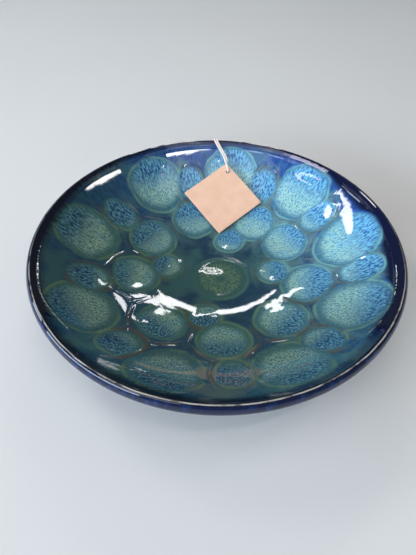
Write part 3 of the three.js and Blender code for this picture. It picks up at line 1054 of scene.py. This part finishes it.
def swing_card(material):
    """Rings of points from the punched hole out to the square edge, on both faces."""
    corners = [Vector((0, 0))]
    half = CARD_SIDE / math.sqrt(2)
    corners += [Vector((half, -half)), Vector((0, -2 * half)), Vector((-half, -half))]
    angles = {math.atan2((c - HOLE).y, (c - HOLE).x) for c in corners}
    angles |= {math.tau * k / CARD_SPOKES - math.pi for k in range(CARD_SPOKES)}
    angles = sorted(angles)
    rounds = [0, 0.02, *spread(0.06, 0.94, CARD_ROUNDS), 0.992, 1]
    thin = [1 - CARD_EDGE_THIN * (share in (0, 1)) for share in rounds]
    shape = bmesh.new()
    faces = []
    for face in (1, -1):
        rows = []
        for share, thickness in zip(rounds, thin):
            row = []
            for angle in angles:
                start = HOLE + HOLE_RADIUS * Vector((math.cos(angle), math.sin(angle)))
                flat = start.lerp(card_outline(angle), share)
                height = card_curl(flat.x, flat.y) + face * thickness * CARD_THICKNESS / 2
                row.append(shape.verts.new(TAG @ Vector((flat.x, flat.y, height))))
            rows.append(row)
        faces.append(rows)
    top, bottom = faces
    count = len(angles)
    strips = [*zip(top, top[1:]), *zip(bottom[1:], bottom)]
    strips += [(bottom[0], top[0]), (top[-1], bottom[-1])]
    for inner, outer in strips:
        for i in range(count):
            j = (i + 1) % count
            shape.faces.new((inner[i], outer[i], outer[j], inner[j])).smooth = True
    mesh = bpy.data.meshes.new("swing_card")
    shape.to_mesh(mesh)
    shape.free()
    mesh.materials.append(material)
    card = link(bpy.data.objects.new("swing_card", mesh))
    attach(card, "tag")
    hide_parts("swing_tag")


# Materials


def new_material(name):
    """A material, its tree, and its Principled shader."""
    material = bpy.data.materials.new(name)
    material.use_nodes = True
    return material, Tree(material.node_tree), material.node_tree.nodes["Principled BSDF"]


def shader_group(name, inputs, outputs):
    tree = bpy.data.node_groups.new(name, "ShaderNodeTree")
    for label, kind in inputs.items():
        tree.interface.new_socket(label, in_out="INPUT", socket_type="NodeSocket" + kind)
    for label, kind in outputs.items():
        tree.interface.new_socket(label, in_out="OUTPUT", socket_type="NodeSocket" + kind)
    t = Tree(tree)
    return t, t.node("NodeGroupInput").outputs


def use_group(t, tree, **values):
    made = t.node("ShaderNodeGroup", node_tree=tree)
    for name, value in values.items():
        t.feed(value, made.inputs[name])
    return made.outputs


def flow_group():
    """Coordinates on the bowl's plan, drawn out towards its axis."""
    t, given = shader_group("kiln_flow", {"Place": "Vector", "Draw": "Float"}, {"Flow": "Vector"})
    flat = t.vector("MULTIPLY", given["Place"], (1, 1, 0))
    reach = t.math("DIVIDE", t.vector("LENGTH", flat), FLOW_RADIUS)
    drawn = t.times(t.math("POWER", t.math("MAXIMUM", reach, 0.002), given["Draw"]), FLOW_RADIUS)
    t.node("NodeGroupOutput", {"Flow": t.vector("SCALE", t.vector("NORMALIZE", flat), drawn)})
    return t.tree


def speckle_group():
    """Scattered iron specks, as a mask."""
    inputs = {"Place": "Vector", "Scale": "Float", "Share": "Float"}
    t, given = shader_group("fired_specks", inputs, {"Mask": "Float"})
    cells = {"Vector": given["Place"], "Scale": given["Scale"]}
    spots = t.node("ShaderNodeTexVoronoi", cells)
    size = t.noise(given["Place"], t.times(given["Scale"], 0.6), 1.0)
    limit = t.times(t.ease(size, 0.5, 0.75), given["Share"])
    t.node("NodeGroupOutput", {"Mask": t.ease(t.less(spots.outputs["Distance"], limit), 0.06, -0.06)})
    return t.tree


def ripple_group():
    """The faint unevenness of a fired glaze, as a height in metres."""
    t, given = shader_group("glaze_ripple", {"Place": "Vector"}, {"Height": "Float"})
    broad = t.around(t.noise(given["Place"], RIPPLE_PATCHES, 2.0), RIPPLE_RISE)
    fine = t.around(t.noise(given["Place"], PORE_PATCHES, 1.0), PORE_RISE)
    t.node("NodeGroupOutput", {"Height": t.plus(broad, fine)})
    return t.tree


def own_place(t):
    return t.node("ShaderNodeTexCoord").outputs["Object"]


def attribute(t, name):
    return t.node("ShaderNodeAttribute", attribute_name=name).outputs["Fac"]


def bumped(t, shader, height):
    given = {"Height": height, "Distance": 1.0, "Strength": 1.0}
    t.feed(t.node("ShaderNodeBump", given).outputs[0], shader.inputs["Normal"])


def glaze_fields(t, flow):
    """What the glaze follows: where a point lies on the bowl and by its nearest hollow, and the patterns."""
    g = SimpleNamespace(place=own_place(t))
    for name in ("edge", "out", "milk", "dish", "from_ring", "from_ridge", "from_crest"):
        setattr(g, name, attribute(t, name))
    g.x, g.y, _ = t.separate(g.place)
    g.radius = t.from_axis(g.place)
    g.cloud = t.noise(g.place, CLOUDS, 2.0)
    g.drift = t.noise(g.place, DRIFTS, 3.0, 0.6)
    g.patchy = t.noise(g.place, PATCHES, 2.0)

    # The bowl's far right side took the blue, its near left side stayed green, and the near side ran least
    side = t.plus(t.vector("DOT_PRODUCT", g.place, BLUE_WAY), t.around(g.cloud, 0.5))
    g.blue = t.ease(side, -0.30, 0.95)
    g.near = t.ease(g.y, 0.0, -0.08)
    g.by_side = lambda pair: t.mix(g.blue, *pair)
    long_flow = use_group(t, flow, Place=g.place, Draw=t.choose(g.near, *LONG_DRAW))["Flow"]
    short_flow = use_group(t, flow, Place=g.place, Draw=t.choose(g.near, *SHORT_DRAW))["Flow"]
    g.streak = t.noise(long_flow, t.choose(g.near, *STREAKS), 3.0, 0.62)
    g.net = t.noise(short_flow, NETS, 3.0, 0.62)
    g.fleck = t.noise(short_flow, FLECKS, 2.0, 0.6)
    return g


def glazed_land(t, g):
    """Between the hollows: streaked, clear in patches and towards the middle, sage by the blue ridges."""
    land = t.lay(g.by_side(LAND), NAVY, g.streak, 0.42, 0.64, 0.6)
    land = t.lay(land, g.by_side(CLEAR), g.patchy, 0.40, 0.65, 0.7)
    land = t.lay(land, CLEAR[0], g.radius, 0.085, 0.040, 0.8)
    gap = t.times(t.ease(g.from_ring, 0.0008, 0.0030), t.ease(g.radius, 0.100, 0.086))
    land = t.lay(land, NAVY, g.patchy, 0.44, 0.60, t.times(gap, 0.7))
    between = t.times(t.ease(g.from_ridge, 0.0060, 0.0015), t.ease(g.edge, 1.6, 1.2), g.blue)
    return t.lay(land, SAGE, g.drift, 0.36, 0.60, t.times(between, 0.75))


def glazed_hollow(t, g):
    """A dark net with pale flecks by the rim, pale veins by the bowl's middle, and a clear edge; on the near
    side the hollows darken towards the rim as painted shade.
    """

    def by_blue(green_end, blue_end):
        return t.choose(g.blue, green_end, blue_end)

    rimmed = t.lay(g.by_side(MOTTLE), g.by_side(SPECK), g.net, by_blue(0.44, 0.47), by_blue(0.52, 0.55), 0.92)
    rimmed = t.lay(rimmed, g.by_side(POOL), g.fleck, 0.54, 0.72, 0.35)
    rimmed = t.lay(rimmed, g.by_side(SHADE), g.drift, 0.52, 0.70, 0.55)

    vein = t.plus(g.streak, t.times(g.blue, 0.07))
    pooled = t.lay(g.by_side(SHADE), g.by_side(POOL), vein, by_blue(0.34, 0.40), by_blue(0.66, 0.58))
    pooled = t.lay(pooled, g.by_side(MOTTLE), g.drift, 0.50, 0.36, 0.55)
    pooled = t.lay(pooled, g.by_side(SPECK), g.fleck, 0.52, 0.62, 0.7)
    pooled = t.lay(pooled, g.by_side(FROTH), g.fleck, 0.46, 0.36, 0.6)

    milky = t.plus(t.plus(g.out, t.around(g.drift, 0.5)), t.times(t.less(0.5, g.milk), 1.1))
    mottled = t.lay(rimmed, pooled, t.plus(milky, t.around(g.streak, 0.9)), 0.35, -0.55)

    # The mottled patch sits a little towards the rim in its hollow
    lifted = t.less(g.out, 0.08)
    beside = t.less(t.times(g.edge, g.edge), t.times(g.out, g.out))
    patch = t.math("SQRT", t.math("MAXIMUM", t.plus(t.times(lifted, lifted), beside), 0.0))
    for pattern, uneven in ((g.drift, 0.18), (g.net, 0.22), (g.streak, 0.28)):
        patch = t.plus(patch, t.around(pattern, uneven))
    clear = t.lay(g.by_side(CLEAR), g.by_side(SHADE), g.streak, 0.40, 0.70, 0.5)
    hollow = t.lay(clear, mottled, patch, by_blue(0.94, 1.02), by_blue(0.64, 0.72))
    # Painted shade: on the near side the hollows darken towards the rim
    return t.lay(hollow, SPECK[0], g.radius, 0.085, 0.110, t.times(g.near, 0.2))


def glazed_dish(t, g, flow):
    """Rays of yellow green, clear at the edge."""
    place = t.vector("SUBTRACT", g.place, DISH_MIDDLE)
    ray = t.noise(use_group(t, flow, Place=place, Draw=RAY_DRAW)["Flow"], RAYS, 2.0, 0.6)
    reach = t.times(t.ease(g.edge, 0.05, 0.30), t.ease(g.edge, 0.85, 0.60))
    green = t.lay(DISH_GREEN, DISH_STREAK, ray, 0.44, 0.60, t.times(reach, 0.85))
    green = t.lay(green, SPECK[0], g.net, 0.52, 0.64, 0.6)
    return t.lay(green, CLEAR[0], g.edge, 0.80, 1.0)


def outlined(t, g, colour, ring_at):
    """A colour with the outlines of the hollows, and the ridges between them, which break brown."""
    ring = t.ease(t.math("ABSOLUTE", ring_at), t.choose(g.blue, 0.0018, 0.0014), 0.0002)
    ring = t.times(ring, t.ease(g.patchy, 0.40, 0.58, 0.15, 1.0), t.choose(g.blue, 0.6, 0.85))
    ring = t.times(ring, t.less(1, t.times(g.dish, 0.7)))
    ridge_at = t.plus(g.from_ridge, t.math("ABSOLUTE", t.around(g.net, 0.001)))
    beyond = t.times(t.ease(g.edge, 0.86, 0.97), t.ease(g.edge, 1.25, 1.06))
    ridge = t.times(t.ease(ridge_at, 0.0012, 0.0003), beyond, t.choose(g.blue, 0.25, 0.6))
    colour = t.mix(t.math("MAXIMUM", ring, ridge), colour, g.by_side(OUTLINE))
    broken = t.times(t.ease(g.edge, 0.90, 1.02), t.ease(g.edge, 1.35, 1.10), t.ease(g.patchy, 0.60, 0.45))
    return t.lay(colour, BROWN, ridge_at, 0.0030, 0.0006, t.times(broken, t.choose(g.near, 0.45, 0.85)))


def banded(t, g, colour):
    """A colour with the dark band inside the crest, and the blotched outside. The band runs down in short
    streaks, least on the far side and furthest between the hollows at the right."""
    run = t.plus(t.times(t.less(g.streak, 0.5), t.choose(g.blue, 0.010, 0.003)), t.around(g.cloud, 0.006))
    run = t.plus(run, t.ease(g.y, 0.02, 0.10, 0.0, 0.004))
    run = t.less(run, t.times(t.ease(g.x, 0.085, 0.125, 0.0, 0.0055), t.ease(g.edge, 1.0, 1.16)))
    colour = t.lay(colour, g.by_side(BAND_NAVY), t.plus(g.from_crest, run), 0.0130, 0.0048)
    blotch = t.noise(t.vector("MULTIPLY", g.place, (1, 1, 0.6)), BLOTCHES, 4.0, 0.65)
    outer = t.lay(OUTER_NAVY, OUTER_BLUE, blotch, 0.46, 0.70)
    return t.lay(colour, outer, g.from_crest, 0.0, -0.0025)


def crest_line_and_highlight(t, g):
    """Where the glaze thins to a pale line on the crest, lightened further as a painted highlight of the
    crest's gloss, as a mask.
    """
    crest_at = t.math("ABSOLUTE", t.plus(g.from_crest, t.around(g.drift, 0.0010)))
    drawn = t.times(t.ease(crest_at, 0.00065, 0.00015), t.ease(g.drift, 0.36, 0.54, 0.15, 1.0))
    return t.times(drawn, t.choose(g.near, 0.2, 0.8))


def glaze_relief(t, g, ripple):
    """Ripple, the crisp ridges between hollows, and a bead where the dark band stops, as a height."""
    crisp = t.times(t.ease(g.from_ridge, RIDGE_HALF, 0.0), t.ease(g.edge, 1.5, 1.15))
    crisp = t.times(crisp, t.ease(g.radius, 0.060, 0.078))
    bead_place = t.choose(t.ease(g.y, -0.060, -0.115), *BEAD_PLACE)
    bead_at = t.math("ABSOLUTE", t.less(t.plus(g.from_crest, t.around(g.drift, 0.001)), bead_place))
    bead = t.times(t.ease(bead_at, BEAD_HALF, 0.0), t.ease(g.cloud, 0.40, 0.55, 0.3, 1.0))
    bead = t.times(bead, t.ease(g.y, -0.105, -0.075))
    raised = t.plus(t.times(crisp, RIDGE_RISE), t.times(bead, BEAD_RISE))
    return t.plus(calmed(t, use_group(t, ripple, Place=g.place)["Height"], g.radius), raised)


def reactive_glaze(flow, specks, ripple):
    """Mottles dark towards the rim and pools in pale veins towards the bowl's middle in each hollow, and
    breaks brown on the ridges and pale on the crest; the pale crest line is partly a painted highlight."""
    material, t, shader = new_material("reactive_glaze")
    g = glaze_fields(t, flow)
    hollow = t.mix(g.dish, glazed_hollow(t, g), glazed_dish(t, g, flow))
    ring_at = t.plus(t.plus(g.from_ring, t.around(g.drift, 0.0020)), t.around(g.net, 0.0012))
    colour = t.lay(glazed_land(t, g), hollow, ring_at, 0.0010, -0.0018)
    colour = banded(t, g, outlined(t, g, colour, ring_at))
    # The pale crest line is thinned glaze lightened as a painted highlight
    crest = crest_line_and_highlight(t, g)
    colour = t.mix(crest, colour, CREST_PALE_AND_HIGHLIGHT)
    iron = use_group(t, specks, Place=g.place, Scale=GLAZE_SPECKS, Share=0.30)["Mask"]
    colour = t.mix(t.times(iron, 0.5), colour, NAVY)
    t.feed(colour, shader.inputs["Base Color"])
    gloss = t.ease(g.drift, 0.3, 0.7, 0.018, 0.035)
    t.feed(t.plus(gloss, t.times(crest, 0.15)), shader.inputs["Roughness"])
    bumped(t, shader, glaze_relief(t, g, ripple))
    return material


def base_glaze(specks, ripple):
    """Thin dark glaze brushed inside the foot ring."""
    material, t, shader = new_material("brushed_dark_glaze")
    place = own_place(t)
    brushed = t.noise(t.vector("MULTIPLY", place, (0.18, 1, 1)), BRUSH_MARKS, 3.0, 0.6)
    colour = t.lay(OUTER_NAVY, OUTER_BLUE, brushed, 0.35, 0.75)
    iron = use_group(t, specks, Place=place, Scale=BASE_SPECKS, Share=0.35)["Mask"]
    t.feed(t.mix(t.times(iron, 0.6), colour, IRON), shader.inputs["Base Color"])
    t.feed(t.ease(brushed, 0.3, 0.7, 0.10, 0.20), shader.inputs["Roughness"])
    bumped(t, shader, t.plus(use_group(t, ripple, Place=place)["Height"], t.times(brushed, BRUSH_RISE)))
    return material


def bare_stoneware(specks):
    """Bare clay with turning rings and iron specks."""
    material, t, shader = new_material("bare_stoneware")
    place = own_place(t)
    turned = t.noise(t.combine(t.from_axis(place), t.separate(place)[2], 0.0), TURNING_RINGS, 2.0, 0.7)
    cloud = t.noise(place, CLAY_CLOUDS, 3.0, 0.6)
    colour = t.lay(*STONEWARE, cloud, 0.3, 0.7)
    colour = t.lay(colour, IRON, turned, 0.5, 0.8, 0.35)
    iron = use_group(t, specks, Place=place, Scale=CLAY_SPECKS, Share=0.38)["Mask"]
    t.feed(t.mix(t.times(iron, 0.8), colour, IRON), shader.inputs["Base Color"])
    t.feed(t.ease(cloud, 0.3, 0.7, 0.72, 0.9), shader.inputs["Roughness"])
    grit = t.noise(place, GRIT, 3.0, 0.6)
    bumped(t, shader, t.plus(t.times(turned, TURNING_RISE), t.times(grit, GRIT_RISE)))
    return material


def tag_card():
    """Uncoated card with short fibres."""
    material, t, shader = new_material("uncoated_card")
    place = own_place(t)
    cloud = t.noise(place, CARD_CLOUDS, 3.0)
    across = t.noise(t.vector("MULTIPLY", place, (1, 0.15, 0.4)), FIBRES_ACROSS, 2.0, 0.6, 1.5)
    along = t.noise(t.vector("MULTIPLY", place, (0.15, 1, 0.4)), FIBRES_ALONG, 2.0, 0.6, 1.5)
    fibre = t.math("MAXIMUM", across, along)
    colour = t.lay(t.lay(*CARD_FACE, cloud, 0.3, 0.7), CARD_FIBRE, fibre, 0.62, 0.80, 0.30)
    t.feed(colour, shader.inputs["Base Color"])
    t.feed(t.ease(fibre, 0.4, 0.7, 0.78, 0.92), shader.inputs["Roughness"])
    bumped(t, shader, t.times(fibre, FIBRE_RISE))
    return material


def twisted_cotton():
    """Soft cotton plies with fine fibres along them."""
    material, t, shader = new_material("twisted_cotton")
    along, around, ply = (attribute(t, name) for name in ("along", "around", "ply"))
    turn = t.times(around, math.tau)
    lie = t.plus(t.times(along, COTTON_FIBRES), t.times(ply, 7.0))
    fibre = t.noise(t.combine(t.math("COSINE", turn), t.math("SINE", turn), lie), 3.2, 3.0, 0.65)
    soft = t.noise(t.combine(t.times(along, COTTON_SLUBS), ply, 0.0), 1.0, 2.0)
    colour = t.lay(t.lay(*COTTON, fibre, 0.30, 0.62), COTTON[0], soft, 0.5, 0.8, 0.25)
    t.feed(colour, shader.inputs["Base Color"])
    t.feed(t.ease(fibre, 0.3, 0.7, 0.82, 0.95), shader.inputs["Roughness"])
    shader.inputs["Sheen Weight"].default_value = 0.25
    bumped(t, shader, t.times(fibre, COTTON_RISE))
    return material


def pale_floor():
    material, t, shader = new_material("pale_floor")
    t.feed(t.mix(t.noise(own_place(t), 3.0, 3.0), *FLOOR), shader.inputs["Base Color"])
    shader.inputs["Roughness"].default_value = 0.75
    return material


# Floor and light


def floor():
    mesh = bpy.data.meshes.new("floor")
    shape = bmesh.new()
    bmesh.ops.create_circle(shape, cap_ends=True, radius=FLOOR_RADIUS, segments=96)
    shape.to_mesh(mesh)
    shape.free()
    mesh.materials.append(pale_floor())
    link(bpy.data.objects.new("floor", mesh))


def direction(azimuth, elevation):
    """Towards a place round the bowl: azimuth from +Y towards +X, elevation above the floor, in degrees."""
    a, e = math.radians(azimuth), math.radians(elevation)
    return Vector((math.sin(a) * math.cos(e), math.cos(a) * math.cos(e), math.sin(e)))


def lamp(name, azimuth, elevation, away, wide, high, level):
    """A soft rectangular lamp that faces the bowl; level is how bright its face is."""
    data = bpy.data.lights.new(name, "AREA")
    data.shape = "RECTANGLE"
    data.size = wide
    data.size_y = high
    data.energy = level * math.pi * wide * high
    made = link(bpy.data.objects.new(name, data))
    way = direction(azimuth, elevation)
    turn = (-way).to_track_quat("-Z", "Y").to_matrix().to_4x4()
    made.matrix_world = Matrix.Translation(LAMP_AIM + way * away) @ turn
    made.visible_camera = False


def glowing(name, shape, level, colour):
    """A lamp with a shape of its own."""
    mesh = bpy.data.meshes.new(name)
    shape.to_mesh(mesh)
    shape.free()
    material, _, shader = new_material(name)
    shader.inputs["Base Color"].default_value = (0, 0, 0, 1)
    shader.inputs["Emission Color"].default_value = (*colour, 1)
    shader.inputs["Emission Strength"].default_value = level
    mesh.materials.append(material)
    made = link(bpy.data.objects.new(name, mesh))
    made.visible_camera = False


def round_lamp(azimuth, elevation, away, wide, high, level):
    """A small oval lamp of rings inside each other, seen from the dish."""
    shape = bmesh.new()
    way = direction(azimuth, elevation)
    turn = Matrix.Translation(ROUND_LAMP_SPOT + way * away) @ way.to_track_quat("Z", "Y").to_matrix().to_4x4()
    turns = [math.tau * k / ROUND_LAMP_SIDES for k in range(ROUND_LAMP_SIDES)]
    for ring in ROUND_LAMP_RINGS:
        rows = []
        for share in ring:
            oval = [Vector((wide * math.cos(a), high * math.sin(a), 0)) * share / 2 for a in turns]
            rows.append([shape.verts.new(turn @ point) for point in oval])
        for i in range(ROUND_LAMP_SIDES):
            j = (i + 1) % ROUND_LAMP_SIDES
            shape.faces.new((rows[0][i], rows[1][i], rows[1][j], rows[0][j]))
    glowing("round_lamp", shape, level, WHITE)


def ribbon_lamp(ribbon):
    """A bent strip, facing its spot on the bowl."""
    shape = bmesh.new()
    draw = random.Random(ribbon.name)
    spot = Vector(ribbon.spot)
    stops = [Vector(stop) for stop in ribbon.stops]
    path = []
    for start, end in zip(stops, stops[1:]):
        path += [start.lerp(end, i / RIBBON_STEPS) for i in range(RIBBON_STEPS)]
    path.append(stops[-1])
    pairs = []
    for i, (azimuth, elevation, width) in enumerate(path):
        way = direction(azimuth, elevation)
        before, after = path[max(i - 1, 0)], path[min(i + 1, len(path) - 1)]
        ahead = direction(after.x, after.y) - direction(before.x, before.y)
        beside = way.cross(ahead).normalized() * math.tan(math.radians(width / 2))
        sides = [side * (1 + ribbon.ragged * draw.uniform(-1, 1)) for side in (-1, 1)]
        pairs.append([shape.verts.new(spot + (way + beside * side) * ribbon.away) for side in sides])
    for (a, b), (c, d) in zip(pairs, pairs[1:]):
        shape.faces.new((a, b, d, c))
    glowing(ribbon.name, shape, ribbon.level, ribbon.colour)


def light():
    world = bpy.data.worlds.new("studio")
    world.use_nodes = True
    room = world.node_tree.nodes["Background"].inputs
    room["Color"].default_value = ROOM_COLOUR
    room["Strength"].default_value = ROOM_LEVEL
    bpy.context.scene.world = world
    for ribbon in RIBBONS:
        ribbon_lamp(ribbon)
    lamp("key", -140, 50, away=1.8, wide=1.0, high=0.85, level=2.0)
    lamp("overhead", 180, 80, away=1.8, wide=1.4, high=1.1, level=1.2)
    round_lamp(1.45, 49.5, away=3.5, wide=0.075, high=0.092, level=28)


bpy.context.scene.view_settings.view_transform = "Standard"
camera()
string_pieces(twisted_cotton())
flow, specks, ripple = flow_group(), speckle_group(), ripple_group()
bowl_pieces(
    reactive_glaze(flow, specks, ripple),
    base_glaze(specks, ripple),
    bare_stoneware(specks),
)
swing_card(tag_card())
floor()
light()
